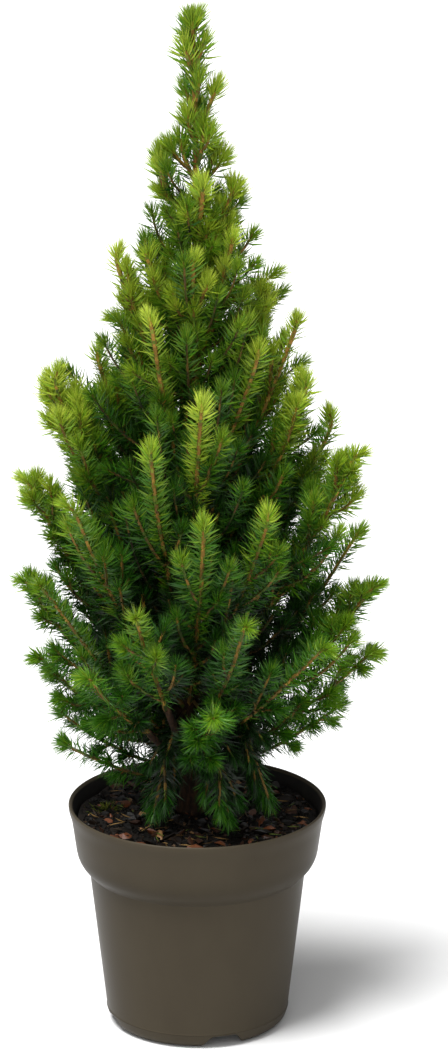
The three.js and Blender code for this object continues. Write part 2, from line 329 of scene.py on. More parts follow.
@dataclass
class Shoot:
    """One twig: its line from root to tip, and what it is like."""

    path: np.ndarray
    kind: Kind
    habit: Habit
    bare: float  # metres from its root without needles
    light: float  # 0 deep in the crown, 1 at its outside
    stout: float = 1.0  # its thickness, against its kind's


TIERS = list(HABITS)
LONE_SHOOTS = {"mass_skirt_right_low", "mass_skirt_left", "mass_tuft_left"}
HANGING = {"mass_tuft_front", "mass_tuft_front_left", "mass_tuft_right"}
MASSES = sorted(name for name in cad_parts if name.startswith("mass_"))
MASSES.sort(key=lambda name: TIERS.index(name.split("_")[1]))

TUFT_DENSITY = 22000.0  # needles to the metre within a tuft's length of a tip
TUFT_LENGTH = 6.5 * MM
PARTING = 0.68  # share of needles left off where they would hide their stem
TIP_MARGIN = 7.5 * MM  # how far needles reach past the end of their shoot
LEADER_MARGIN = 8.5 * MM  # the same at the top of the plant

STEM_STEP = 3 * MM  # between the points of a main stem
TANGENT_REACH = 4 * MM
BUD_LENGTH = 4 * MM  # a stem's very tip, without side shoots
SHORTEST_SHOOT = 4 * MM
SIDE_START = 6 * MM  # length of the side shoots nearest the tip
STIFF_LEAN = 14  # degrees that a short shoot leans out further
FORKED_LENGTH = 24 * MM  # longer side shoots fork

# Ranges: shares of the usual length and of a shoot's length, and lengths and gaps in millimetres.
SIDE_SHARES = (0.6, 1.15)
FORK_SHARES = (0.25, 0.6)
STIFF_LENGTHS = (10, 22)
FORK_LENGTHS = (9, 18)
BOUGH_SHOOT_LENGTHS = (14, 36)
BOUGH_SHOOT_GAPS = (3, 5.5)

# How much light these shoots get, against others in the same place.
HANGING_LIGHT = 0.75
BOUGH_LIGHT = 0.65
INNER_LIGHT = 0.4

# Needles that would reach farther out than this box are left off.
NEEDLE_BOX = np.array(CAD_BOX) + 1.5 * MM * np.array([[-1, -1, 0], [1, 1, 0.3]])

# By height: how yellow new needles are and how pale all needles get, partly younger growth and partly
# painted light on the open top of the crown; how stout shoots are; and steps along TWIG_COLOURS.
YOUTH_HEIGHTS = [120 * MM, 160 * MM, 260 * MM, 400 * MM, 460 * MM]
YOUTH_AND_TOP_LIGHT = [0.1, 0.25, 0.64, 1, 0.68]
STOUTNESS = [0.62, 0.62, 0.72, 0.95, 1.05]
TWIG_PALING = [-1.2, -1, -0.6, 0.1, 0.5]
OLIVE_HEIGHTS = [180 * MM, 380 * MM, 500 * MM]
OLIVE_SHARES = [0, 0.9, 0.6]
CROWN_DEPTH = 38 * MM  # how far into the crown light reaches


def crown_profile():
    """The crown's outer radius round the trunk at a row of heights."""
    heights = np.linspace(SOIL_TOP, PLANT_TOP, 24)
    points = np.vstack([node_arrays(name)[0] for name in MASSES])
    radii = []
    for height in heights:
        near = points[np.abs(points[:, 2] - height) < 24 * MM]
        radii.append(np.percentile(np.linalg.norm(near[:, :2] - TRUNK_FOOT[:2], axis=1), 92))
    return heights, np.array(radii)


CROWN_HEIGHTS, CROWN_RADII = crown_profile()


def openness(point):
    """0 deep in the crown, 1 at its outside."""
    radius = np.interp(point[2], CROWN_HEIGHTS, CROWN_RADII)
    depth = radius - np.linalg.norm(point[:2] - TRUNK_FOOT[:2])
    return float(np.clip(1.1 - depth / CROWN_DEPTH, 0, 1))


def bough_end(name):
    """Where the bough that carries this mass ends, or None."""
    bough = name.replace("mass_", "bough_")
    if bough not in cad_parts:
        return None
    return middle_line(bough, np.random.default_rng(11), slabs=3)[-1]


def hanging_stem(name, line):
    """A stem that leaves the trunk above its mass and hangs to just above the soil."""
    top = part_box(name)[1][2]
    root = trunk_point(top + 24 * MM)
    tip = np.array([*(0.82 * line[-1] + 0.18 * root)[:2], SOIL_TOP + 12 * MM])
    knee = np.array([*(0.45 * root + 0.55 * tip)[:2], top + 16 * MM])
    stem = softened([root, knee, tip], STEM_STEP)
    return stem, 0.2 * path_lengths(stem)[-1]


def stem_of(name, rng):
    """A mass's main stem, from its trunk or bough to just inside its tip, and its bare length."""
    if name == "mass_leader":
        heights = np.linspace(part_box(name)[0][2], PLANT_TOP - LEADER_MARGIN, 40)
        return np.array([trunk_point(height) for height in heights]), 0.0
    line = middle_line(name, rng)
    if name in HANGING:
        return hanging_stem(name, line)
    root = bough_end(name)
    on_trunk = root is None
    if on_trunk:
        back = unit(line[0] - line[2])
        away = np.linalg.norm(line[0][:2] - trunk_point(line[0][2])[:2])
        drop = away * abs(back[2]) / max(np.linalg.norm(back[:2]), 0.25)
        root = trunk_point(np.clip(line[0][2] - 0.8 * drop, SOIL_TOP + 8 * MM, TRUNK_TIP - 20 * MM))
    tip = line[-1] - TIP_MARGIN * unit(line[-1] - line[-3])
    stem = softened([root, line[:-1], tip], STEM_STEP)
    start = np.linalg.norm(stem - line[0], axis=1).argmin() / len(stem)
    if on_trunk:
        start *= 0.45
    return stem, start * path_lengths(stem)[-1]


def side_shoot(tree, stem, distance, angle, habit, rng, longest, stiff=False):
    """One shoot off a stem, within its mass if one is given. Unless stiff, it turns up."""
    origin = at_lengths(stem, [distance])[0]
    tangent = tangents_at(stem, np.array([distance]), TANGENT_REACH)[0]
    out = square_to(tangent, angle)
    lean = math.radians(rng.uniform(*habit.lean) + STIFF_LEAN * stiff)
    aim = unit(math.cos(lean) * tangent + math.sin(lean) * out)
    onward = unit(tangent + 0.2 * out + habit.upright * UP)
    chord = unit(aim + rng.uniform(0.6, 1.5) * (0.3 if stiff else 1.0) * onward)
    length = longest
    if tree is not None:
        length = min(longest, farthest_room(tree, origin, chord) + habit.beyond * MM)
    if length < SHORTEST_SHOOT:
        return None
    return arc(origin, origin + 0.45 * length * aim, origin + length * chord)


def faces_out(stem, distance, angle):
    """Whether a side shoot here would grow straight out of the crown, over its stem."""
    total = path_lengths(stem)[-1]
    place, ahead = at_lengths(stem, [distance, min(distance + TANGENT_REACH, total)])
    out = square_to(unit(ahead - place), angle)
    away = place[:2] - TRUNK_FOOT[:2]
    return float(out[:2] @ away) > 0.62 * max(np.linalg.norm(away), 25 * MM)


# Range of how much of its clean tip a main stem keeps, by the first of these in its mass's name.
CLEAN_SHARES = {"front": (0.55, 1.35), "back": (0.45, 1.15), "": (0.1, 0.65)}


def grow_mass(name, rng):
    """A mass's shoots: its main stem, side shoots by the golden angle, and forks on those."""
    tree = None if name in HANGING else node_tree(name)
    light = HANGING_LIGHT if name in HANGING else 1.0
    habit = HABITS["lone" if name in LONE_SHOOTS else name.split("_")[1]]
    gap = habit.gap * MM
    stem, start = stem_of(name, rng)
    length = path_lengths(stem)[-1]
    leafy = length - start
    leader = name == "mass_leader"
    stout = np.interp(stem[-1][2], YOUTH_HEIGHTS, STOUTNESS)
    kind = LEADER if leader else MAIN_STEM
    shoots = [Shoot(stem, kind, habit, start, light * openness(stem[-1]), stout)]
    angle = rng.uniform(0, 2 * math.pi)
    clean = rng.uniform(*next(CLEAN_SHARES[side] for side in CLEAN_SHARES if side in name))
    from_tip = habit.clean * leafy * clean + BUD_LENGTH
    while from_tip < leafy:
        angle += GOLDEN_ANGLE + rng.normal(0, 0.2)
        if not leader and from_tip < 0.85 * leafy and faces_out(stem, length - from_tip, angle):
            from_tip += 0.5 * gap
            continue
        stiff = rng.random() < habit.short
        usual = habit.taper * from_tip + SIDE_START
        longest = min(habit.longest * MM, usual * rng.uniform(*SIDE_SHARES))
        if stiff:
            longest = min(longest, rng.uniform(*STIFF_LENGTHS) * MM)
        path = side_shoot(tree, stem, length - from_tip, angle, habit, rng, longest, stiff)
        from_tip += gap * rng.uniform(0.7, 1.3)
        if path is None:
            continue
        reach = path_lengths(path)[-1]
        shoots.append(Shoot(path, SIDE_SHOOT, habit, 1.5 * MM, light * openness(path[-1]), stout))
        if reach > FORKED_LENGTH:
            place = rng.uniform(*FORK_SHARES) * reach
            turn = rng.uniform(0, 2 * math.pi)
            fork = side_shoot(tree, path, place, turn, habit, rng, rng.uniform(*FORK_LENGTHS) * MM)
            if fork is not None:
                shoots.append(Shoot(fork, FORK, habit, 1 * MM, openness(fork[-1])))
    return shoots


def grow_bough(name, rng):
    """Shoots along the outer part of a bough, which close the crown between its masses."""
    line = middle_line(name, rng, slabs=3)
    line = softened([trunk_point(line[0][2]), line], STEM_STEP)
    total = path_lengths(line)[-1]
    habit = HABITS["lower"]
    shoots = []
    angle = rng.uniform(0, 2 * math.pi)
    place = 0.3 * total
    while place < total:
        angle += GOLDEN_ANGLE
        longest = rng.uniform(*BOUGH_SHOOT_LENGTHS) * MM
        path = side_shoot(None, line, place, angle, habit, rng, longest)
        place += rng.uniform(*BOUGH_SHOOT_GAPS) * MM
        shoots.append(Shoot(path, BOUGH_SHOOT, habit, 3 * MM, BOUGH_LIGHT * openness(path[-1])))
    return shoots


# Where the foot of the trunk shows between the boughs.
WINDOW = np.array([-0.05, -1.0, 0.0])
WINDOW_HALF_ANGLE = math.radians(32)
WINDOW_TOP = 215 * MM

INNER_START = 16 * MM  # above the soil
INNER_END = 90 * MM  # below the trunk's tip
INNER_STEP = 1.25 * MM
SPARSE_BELOW = 210 * MM
SPARSE_ABOVE = 400 * MM
SPARSE_SKIP = 0.6  # share of the shoots left out there


def grow_inner(rng):
    """Old shoots on the trunk, which close the middle of the crown."""
    shoots = []
    angle = 0.0
    for height in np.arange(SOIL_TOP + INNER_START, TRUNK_TIP - INNER_END, INNER_STEP):
        angle += GOLDEN_ANGLE
        if (height > SPARSE_ABOVE or height < SPARSE_BELOW) and rng.random() < SPARSE_SKIP:
            continue
        out = heading(angle)
        if height < WINDOW_TOP and out @ WINDOW > math.cos(WINDOW_HALF_ANGLE):
            continue
        start = trunk_point(height)
        length = rng.uniform(0.45, 0.95) * np.interp(height, CROWN_HEIGHTS, CROWN_RADII)
        end = start + length * unit(out + rng.uniform(0.4, 1.4) * UP)
        path = arc(start, start + 0.5 * length * unit(out + 0.25 * UP), end)
        light = INNER_LIGHT * openness(end)
        shoots.append(Shoot(path, INNER_SHOOT, HABITS["middle"], 0.3 * length, light))
    return shoots


# ----- Needles -----

# How pale a needle is, as a share of all levels: the least, and what each thing adds.
LEAST_LEVEL = 0.05
# Paler needles higher up: partly younger growth, partly painted light on the open top of the crown.
YOUTH_AND_TOP_LIGHT_LEVEL = 0.31
LIGHT_LEVEL = 0.41
AGED_LEVEL = -0.13
SHADY_LEVEL = -0.14
FRESH_LEVEL = 0.05
FRESH_LIGHT_LEVEL = 0.22  # for new needles in full light, on top of the others
NEEDLE_SPREAD = 0.07
SHOOT_SPREAD = 0.05

FRESH_LENGTH = 10 * MM  # back from the tip, as far as the needles are new
AGED_LENGTH = 34 * MM  # back from the tip, to the oldest needles
SHADY_WIDTH = 60 * MM
SHADY_TOP = 340 * MM
SHADY_DEPTH = 90 * MM


def low_middle(point):
    """1 low in the middle of the crown, where boughs shade each other, to 0 elsewhere."""
    between = np.clip(1.3 - abs(point[0]) / SHADY_WIDTH, 0, 1)
    return between * np.clip((SHADY_TOP - point[2]) / SHADY_DEPTH, 0, 1)


def needle_colours(shoot, from_tip, rng):
    """The material number of each needle, by its distance from its shoot's tip."""
    end = shoot.path[-1]
    youth_and_top_light = np.interp(end[2], YOUTH_HEIGHTS, YOUTH_AND_TOP_LIGHT)
    fresh = np.clip(1.1 - from_tip / FRESH_LENGTH, 0, 1)
    aged = np.clip(from_tip / AGED_LENGTH, 0, 1)
    level = LEAST_LEVEL + YOUTH_AND_TOP_LIGHT_LEVEL * youth_and_top_light**1.5 + LIGHT_LEVEL * shoot.light + AGED_LEVEL * aged
    level = level + (0.3 + 0.7 * youth_and_top_light) * fresh * (FRESH_LEVEL + FRESH_LIGHT_LEVEL * shoot.light)
    level = level + SHADY_LEVEL * low_middle(end) * (1 - 0.6 * fresh)
    level = level + rng.normal(0, NEEDLE_SPREAD, len(from_tip)) + rng.normal(0, SHOOT_SPREAD)
    level = np.clip(level * NEEDLE_LEVELS, 0, NEEDLE_LEVELS - 1).astype(int)
    olive = rng.random(len(from_tip)) < np.interp(end[2], OLIVE_HEIGHTS, OLIVE_SHARES)
    return level + NEEDLE_LEVELS * olive


def needles_on(shoot, rng):
    """Base, middle, tip, half-width and material number of each needle on one shoot."""
    habit = shoot.habit
    total = path_lengths(shoot.path)[-1]
    leafy = total - shoot.bare
    if leafy <= 0:
        return None
    tuft = min(TUFT_LENGTH, leafy)
    below = np.arange(0, leafy - tuft, 1 / (shoot.kind.density * habit.leafy))
    above = np.linspace(leafy - tuft, leafy, int(tuft * TUFT_DENSITY * (0.45 + 0.55 * shoot.light)))
    places = shoot.bare + np.concatenate([below, above])
    count = len(places)
    from_tip = total - places
    bases = at_lengths(shoot.path, places)
    tangents = tangents_at(shoot.path, places, 2 * MM)
    side, other = across(tangents)
    turn = GOLDEN_ANGLE * np.arange(count) + rng.normal(0, 0.3, count)
    out = np.cos(turn)[:, None] * side + np.sin(turn)[:, None] * other

    near_tip = np.clip(1 - from_tip / TUFT_LENGTH, 0, 1)
    closing = (habit.opening - habit.tip_opening) * near_tip**0.6
    opening = np.radians(rng.normal(habit.opening, 12, count) - closing)
    length = rng.normal(habit.needle * MM, 1.2 * MM, count) * (1 - 0.14 * near_tip)
    aim = np.cos(opening)[:, None] * tangents + np.sin(opening)[:, None] * out
    aim = unit(aim - 0.45 * habit.droop * UP)
    bend = (rng.normal(0.30, 0.14, count) * (1 - 0.5 * near_tip))[:, None]
    later = unit(aim + bend * tangents * (1 - habit.droop) - 0.7 * habit.droop * UP)
    middles = bases + 0.36 * length[:, None] * aim
    tips = middles + 0.64 * length[:, None] * later

    away = bases - TRUNK_FOOT
    away[:, 2] = 0
    facing = np.einsum("ij,ij->i", out, unit(away))
    kept = (facing < 0.4) | (rng.random(count) > PARTING) | (near_tip > 0.3)
    kept &= np.all((tips > NEEDLE_BOX[0]) & (tips < NEEDLE_BOX[1]), axis=1)
    kept &= tips[:, 2] > SOIL_TOP

    colours = needle_colours(shoot, from_tip, rng)
    width = rng.normal(0.158, 0.02, count) * MM
    return [values[kept] for values in (bases, middles, tips, width, colours)]


def needle_mesh(batches):
    """The shape of needles, each a closed blade of four faces, bent in its middle."""
    bases, middles, tips, widths, colours = (np.concatenate(part) for part in zip(*batches))
    along = unit(tips - bases)
    chord = bases + np.einsum("ij,ij->i", middles - bases, along)[:, None] * along
    back = middles - chord
    helper = across(along)[0]
    back = np.where(np.linalg.norm(back, axis=1, keepdims=True) > 0.05 * MM, unit(back), helper)
    side = widths[:, None] * np.cross(along, back)
    ridge = 0.9 * widths[:, None] * back
    left = middles + side
    right = middles - side
    points = np.stack([bases, left, right, tips], axis=1)
    points[:, (0, 3)] -= 0.5 * ridge[:, None]
    points[:, (1, 2)] += 0.5 * ridge[:, None]
    pattern = np.array([(0, 2, 1), (3, 1, 2), (0, 1, 3), (0, 3, 2)])
    triangles = (4 * np.arange(len(bases))[:, None, None] + pattern).reshape(-1, 3)
    return points.reshape(-1, 3), triangles, np.repeat(colours, len(pattern))


# ----- Tubes -----

def ring_faces(count, sides):
    """Triangles of a closed tube of rings; its last two points are the middles of its ends."""
    k = np.arange(sides)
    after = (k + 1) % sides
    wall = np.stack([k, after, after + sides, k, after + sides, k + sides], axis=1).reshape(-1, 3)
    walls = wall + sides * np.arange(count - 1)[:, None, None]
    last = (count - 1) * sides
    middle = np.full(sides, count * sides)
    ends = np.stack([middle, after, k, middle + 1, last + k, last + after], axis=1)
    return np.vstack([walls.reshape(-1, 3), ends.reshape(-1, 3)])


def tube(path, radii, sides):
    path = np.asarray(path, float)
    tangents = unit(np.gradient(path, axis=0))
    side, other = across(unit(tangents.mean(axis=0)))
    side = unit(side - np.einsum("ij,j->i", tangents, side)[:, None] * tangents)
    other = np.cross(tangents, side)
    turn = turns_round(sides)
    ring = np.cos(turn)[None, :, None] * side[:, None] + np.sin(turn)[None, :, None] * other[:, None]
    points = path[:, None] + np.asarray(radii)[:, None, None] * ring
    points = np.vstack([points.reshape(-1, 3), path[:1], path[-1:]])
    return points, ring_faces(len(path), sides)


def joined(parts):
    """Several (points, triangles, material numbers) as one."""
    points, triangles, colours = zip(*parts)
    offsets = np.cumsum([0] + [len(some) for some in points[:-1]])
    moved = [some + offset for some, offset in zip(triangles, offsets)]
    return np.vstack(points), np.vstack(moved), np.concatenate(colours)


def twig_part(shoot, rng):
    """A shoot's wood, mottled, and paler towards its tip and higher up the plant."""
    radii = [radius * shoot.stout * MM for radius in shoot.kind.radii]
    step, sides = (2 * MM, 5) if radii[0] > THICK_TWIG else (4 * MM, 4)
    path = respaced(shoot.path, step)
    points, triangles = tube(path, np.linspace(*radii, len(path)), sides)
    patches = (len(path) - 1) * sides
    wood = shoot.kind.wood + np.interp(path[-1][2], YOUTH_HEIGHTS, TWIG_PALING)
    age = np.linspace(wood - 0.5, wood + 0.6, patches) + rng.normal(0, 0.6, patches)
    age = np.clip(np.round(age), 0, TWIG_LEVELS - 1).astype(int)
    age = age + TWIG_LEVELS * (rng.random(patches) < GREEN_PATCHES)
    return points, triangles, np.concatenate([np.repeat(age, 2), np.repeat(age[-1], 2 * sides)])


# ----- Pieces -----

def in_scene(name, data):
    thing = bpy.data.objects.new(name, data)
    bpy.context.scene.collection.objects.link(thing)
    return thing


def new_piece(name, shape, materials, nodes, smooth=False):
    """A mesh piece that rides with the plant, and hides the CAD nodes that it stands for.

    Its shape is points, triangles and, unless they are all 0, the triangles' material numbers.
    """
    points, triangles, *numbers = shape
    mesh = bpy.data.meshes.new(name)
    mesh.vertices.add(len(points))
    mesh.vertices.foreach_set("co", np.asarray(points, dtype=np.float32).ravel())
    mesh.loops.add(3 * len(triangles))
    mesh.loops.foreach_set("vertex_index", np.asarray(triangles, dtype=np.int32).ravel())
    mesh.polygons.add(len(triangles))
    mesh.polygons.foreach_set("loop_start", np.arange(0, 3 * len(triangles), 3, dtype=np.int32))
    if numbers:
        mesh.polygons.foreach_set("material_index", np.asarray(numbers[0], dtype=np.int32))
    mesh.polygons.foreach_set("use_smooth", np.full(len(triangles), smooth))
    mesh.update(calc_edges=True)
    for material in materials:
        mesh.materials.append(material)
    piece = in_scene(name, mesh)
    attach(piece, "root")
    if nodes:
        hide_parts(*nodes)
    return piece


# ----- Patterned materials -----

def node_material(name, roughness, specular):
    """A new material, its node tree and its shader's inputs, ready for a pattern."""
    material = new_material(name, (0.5, 0.5, 0.5, 1.0), roughness, specular)
    return material, material.node_tree, material.node_tree.nodes["Principled BSDF"].inputs


def add_node(tree, kind, inputs, **settings):
    """A new shader node; its inputs are values or sockets to link."""
    node = tree.nodes.new(kind)
    for name, value in settings.items():
        setattr(node, name, value)
    for name, value in inputs.items():
        if isinstance(value, bpy.types.NodeSocket):
            tree.links.new(value, node.inputs[name])
        else:
            node.inputs[name].default_value = value
    return node


def object_place(tree):
    return tree.nodes.new("ShaderNodeTexCoord").outputs["Object"]


def noise_pattern(tree, upright, scale, detail=6.0, roughness=0.6):
    """Noise over the object; below 1, upright makes its lumps taller."""
    inputs = {"Vector": object_place(tree), "Scale": (1.0, 1.0, upright)}
    vector = add_node(tree, "ShaderNodeMapping", inputs).outputs["Vector"]
    inputs = {"Vector": vector, "Scale": scale, "Detail": detail, "Roughness": roughness}
    return add_node(tree, "ShaderNodeTexNoise", inputs).outputs["Fac"]


def colour_ramp(tree, value, stops):
    """Colours by a value; stops are (position, display colour)."""
    node = add_node(tree, "ShaderNodeValToRGB", {"Fac": value})
    elements = node.color_ramp.elements
    while len(elements) < len(stops):
        elements.new(0.5)
    for element, (position, colour) in zip(elements, stops):
        element.position = position
        element.color = linear(colour)
    return node.outputs["Color"]


def map_range(tree, value, source, target=(0.0, 1.0)):
    """A value spread from the source range over the target range."""
    ends = zip(("From Min", "From Max", "To Min", "To Max"), source + target)
    return add_node(tree, "ShaderNodeMapRange", {"Value": value, **dict(ends)}).outputs["Result"]


def bump(tree, look, height, distance, strength=1.0):
    inputs = {"Height": height, "Distance": distance, "Strength": strength}
    tree.links.new(add_node(tree, "ShaderNodeBump", inputs).outputs["Normal"], look["Normal"])


def mixed(tree, factor, first, second, blend="MIX"):
    """Two colours mixed by a value or a fixed share."""
    inputs = {"Factor": factor, "A": first, "B": second}
    return add_node(tree, "ShaderNodeMix", inputs, data_type="RGBA", blend_type=blend).outputs["Result"]


def height_share(tree, low, high):
    """0 below one height of the object and 1 above another."""
    height = add_node(tree, "ShaderNodeSeparateXYZ", {"Vector": object_place(tree)}).outputs["Z"]
    return map_range(tree, height, (low, high))


def bark_material():
    """Dark bark, cracked lengthwise, that turns golden brown on the young wood at the top."""
    material, tree, look = node_material("bark", 0.85, 0.2)
    cracks = noise_pattern(tree, 0.28, 520, 5, 0.7)
    patches = noise_pattern(tree, 1, 90)
    old = colour_ramp(
        tree, cracks, [(0.3, (14, 10, 7)), (0.48, (36, 25, 16)), (0.62, (62, 44, 28)), (0.8, (90, 68, 45))]
    )
    young = colour_ramp(tree, cracks, [(0.32, (88, 60, 28)), (0.5, (136, 100, 48)), (0.68, (172, 134, 72))])
    wood = mixed(tree, height_share(tree, 220 * MM, 360 * MM), old, young)
    tint = colour_ramp(tree, patches, [(0.35, (205, 180, 160)), (0.65, (255, 250, 240))])
    tree.links.new(mixed(tree, 1.0, wood, tint, "MULTIPLY"), look["Base Color"])
    bump(tree, look, cracks, 0.4 * MM)
    return material


def pot_material():
    """Warm grey plastic, faintly mottled and grained, and darkened a little under its collar with painted
    shade.
    """
    material, tree, look = node_material("pot_plastic", 0.5, 0.06)
    mottle = noise_pattern(tree, 0.5, 26, 4)
    grain = noise_pattern(tree, 1, 1500, 2)
    colour = colour_ramp(tree, mottle, [(0.3, (56, 50, 40)), (0.7, (61, 55, 44))])
    # Painted shade: darker between these heights, on the underside of the collar.
    painted_collar_shade = colour_ramp(
        tree,
        height_share(tree, 78 * MM, 98 * MM),
        [(0.12, (255, 255, 255)), (0.14, (226, 226, 226)), (0.5, (236, 236, 236)), (1, (255, 255, 255))],
    )
    tree.links.new(mixed(tree, 1.0, colour, painted_collar_shade, "MULTIPLY"), look["Base Color"])
    tree.links.new(map_range(tree, mottle, (0.3, 0.7), (0.36, 0.44)), look["Roughness"])
    bump(tree, look, grain, 0.05 * MM, 0.5)
    return material


def pot_inside_material():
    """The same plastic inside the pot, nearly black with painted shade, in blotches."""
    material, tree, look = node_material("pot_inside_shade", 0.6, 0.3)
    blotches = noise_pattern(tree, 0.6, 160, 5)
    # Painted shade: near-black colours for the inside of the pot.
    colour = colour_ramp(tree, blotches, [(0.35, (12, 10, 8)), (0.6, (22, 18, 14)), (0.75, (36, 31, 24))])
    tree.links.new(colour, look["Base Color"])
    return material


def soil_material():
    """Moist peat: nearly black, with brown fibres."""
    material, tree, look = node_material("peat", 0.8, 0.15)
    lumps = noise_pattern(tree, 1, 260, 8, 0.7)
    colour = colour_ramp(
        tree, lumps, [(0.3, (5, 4, 3)), (0.52, (12, 9, 6)), (0.68, (26, 18, 12)), (0.82, (48, 34, 23))]
    )
    tree.links.new(colour, look["Base Color"])
    bump(tree, look, lumps, 0.8 * MM)
    return material


# ----- Trunk and boughs -----

TRUNK_SIDES = 30
TRUNK_STEP = 1.8 * MM
PLATE_RELIEF = 0.38 * MM
PLATE_DEPTH = 0.12 * MM
KNOT_RELIEF = 0.45 * MM
FULL_RELIEF_RADIUS = 4 * MM
BOUGH_SIDES = 16
BOUGH_STEP = 1.3 * MM


def relief(points, lump, place):
    """Smooth noise, -1 to 1, at each point; lump is its size on each axis, in millimetres."""
    size = np.array(lump) * MM
    return np.array([noise.noise(Vector(point / size) + Vector((place, 0, 0))) for point in points])


def build_trunk():
    """The trunk with its root flare, its bark raised in long plates."""
    tree = node_tree("trunk")
    turns = turns_round(TRUNK_SIDES)
    middles = np.array([trunk_point(z) for z in np.arange(SOIL_TOP + 0.3 * MM, TRUNK_TIP, TRUNK_STEP)])
    rings = []
    for middle in middles:
        radius = np.interp(middle[2], TRUNK[:, 2], TRUNK[:, 3])
        hits = [tree.ray_cast(Vector(middle), Vector(heading(turn)))[3] or 0 for turn in turns]
        reach = np.array([hit if 0.5 * radius < hit < 2 * radius else radius for hit in hits])
        for _ in range(2):
            reach = (np.roll(reach, 1) + 2 * reach + np.roll(reach, -1)) / 4
        rings.append(reach)
    rings = np.array(rings)
    round_middle = np.stack([np.cos(turns), np.sin(turns), np.zeros(TRUNK_SIDES)], axis=1)
    flat = (middles[:, None, :] + rings[:, :, None] * round_middle).reshape(-1, 3)
    plates = relief(flat, [1.7, 1.7, 7.0], 3.0)
    knots = relief(flat, [5.0, 5.0, 9.0], 8.0)
    share = np.clip(rings.reshape(-1) / FULL_RELIEF_RADIUS, 0.15, 1)
    raised = share * (PLATE_RELIEF * np.abs(plates) - PLATE_DEPTH + KNOT_RELIEF * knots)
    flat = flat + raised[:, None] * unit(flat - np.repeat(middles, TRUNK_SIDES, axis=0))
    flat = np.vstack([flat, middles[:1], middles[-1:] + [0, 0, 0.4 * MM]])
    return flat, ring_faces(len(middles), TRUNK_SIDES)


def build_boughs():
    """The boughs as one piece: each tapers from a swollen root on the trunk into its mass."""
    rng = np.random.default_rng(5)
    parts = []
    names = sorted(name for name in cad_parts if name.startswith("bough_"))
    for number, name in enumerate(names):
        line = middle_line(name, rng, slabs=3)
        root = trunk_point(max(line[0][2] - 2 * MM, SOIL_TOP + 6 * MM))
        path = softened([root, line], BOUGH_STEP)
        share = np.linspace(0, 1, len(path))
        radii = (2.5 - 0.9 * share + 0.9 * np.exp(-path_lengths(path) / (4 * MM))) * MM
        points, triangles = tube(path, radii, BOUGH_SIDES)
        body = points[:-2]
        bumps = relief(body, [2.2, 2.2, 3.5], 20.0 + number)
        middles = np.repeat(path, BOUGH_SIDES, axis=0)
        points[:-2] = body + (PLATE_RELIEF * bumps)[:, None] * unit(body - middles)
        parts.append((points, triangles, np.zeros(len(triangles))))
    return joined(parts), names


def build_wood():
    material = bark_material()
    new_piece("trunk_bark", build_trunk(), [material], ["trunk"], smooth=True)
    boughs, names = build_boughs()
    new_piece("bough_bark", boughs, [material], names, smooth=True)


# ----- Pot -----

def rounded(corners, steps=5):
    """An outline in (radius, height); its corners are (radius, height, rounding)."""
    places = [np.array(corner[:2]) for corner in corners]
    line = [places[0]]
    for i in range(1, len(places) - 1):
        here = places[i]
        size = corners[i][2]
        before = here + size * unit(places[i - 1] - here)
        after = here + size * unit(places[i + 1] - here)
        line.extend(arc(before, here, after, steps))
    line.append(places[-1])
    return np.array(line) * MM


# The pot's outline in millimetres, from the middle of its underside round to that of its floor.
POT_OUTLINE = [
    (0, 6.4, 0), (36, 6.4, 0.8), (36, 0, 0.5), (41.2, 0, 1.4), (44.7, 2.6, 2), (45.9, 6.6, 1),
    (46.15, 7.4, 0.3), (46, 8.3, 0.3), (54.5, 80.6, 0.2), (60.3, 86.8, 5), (63.3, 108, 2.4),
    (64.9, 113.2, 1.4), (65, 115.4, 0.4), (64.3, 116, 0.4), (63, 115, 0.6), (61.8, 108.2, 0.8),
    (58.4, 89.5, 1.2), (53.1, 81.5, 1.2), (44.4, 8.1, 0.8), (0, 8.1, 0),
]
# Heights between which the pot's inner wall is painted dark as shade.
SHADED_INSIDE_HEIGHTS = (30 * MM, 114.5 * MM)  # inside the pot
NOTCH_OUTLINE = [(-11.8, -1), (11.8, -1), (8, 5.2), (6, 6.7), (-5.6, 6.7), (-7.6, 5.2)]
NOTCH_RADII = (29, 54)
DRAIN_PLACE = 28 * MM  # from the pot's middle
DRAIN_RADIUS = 4.5 * MM
DRAIN_HEIGHTS = (5 * MM, 9.5 * MM)
OPENING_BEARINGS = [-73 + 90 * k for k in range(4)]  # of the notches and the drain holes


def turned(outline, sides):
    """A closed solid turned from an outline whose ends lie on the axis."""
    turns = turns_round(sides)
    inner = outline[1:-1]
    radii = inner[:, None, 0]
    heights = np.repeat(inner[:, None, 1], sides, axis=1)
    rings = np.stack([radii * np.cos(turns), radii * np.sin(turns), heights], axis=-1)
    ends = [[0, 0, outline[0][1]], [0, 0, outline[-1][1]]]
    return np.vstack([rings.reshape(-1, 3), ends]), ring_faces(len(inner), sides)


def cut_away(piece, cutters):
    for cutter in cutters:
        modifier = piece.modifiers.new("cut", "BOOLEAN")
        modifier.operation = "DIFFERENCE"
        modifier.solver = "EXACT"
        modifier.object = cutter
    depsgraph = bpy.context.evaluated_depsgraph_get()
    cut = bpy.data.meshes.new_from_object(piece.evaluated_get(depsgraph))
    piece.modifiers.clear()
    piece.data = cut
    for cutter in cutters:
        bpy.data.objects.remove(cutter)


def prism(name, points):
    """A solid between two rings of points, each half of the points."""
    count = len(points) // 2
    faces = [list(range(count))[::-1], list(range(count, 2 * count))]
    faces += [[k, (k + 1) % count, count + (k + 1) % count, count + k] for k in range(count)]
    mesh = bpy.data.meshes.new(name)
    mesh.from_pydata([tuple(point) for point in points], [], faces)
    return in_scene(name, mesh)


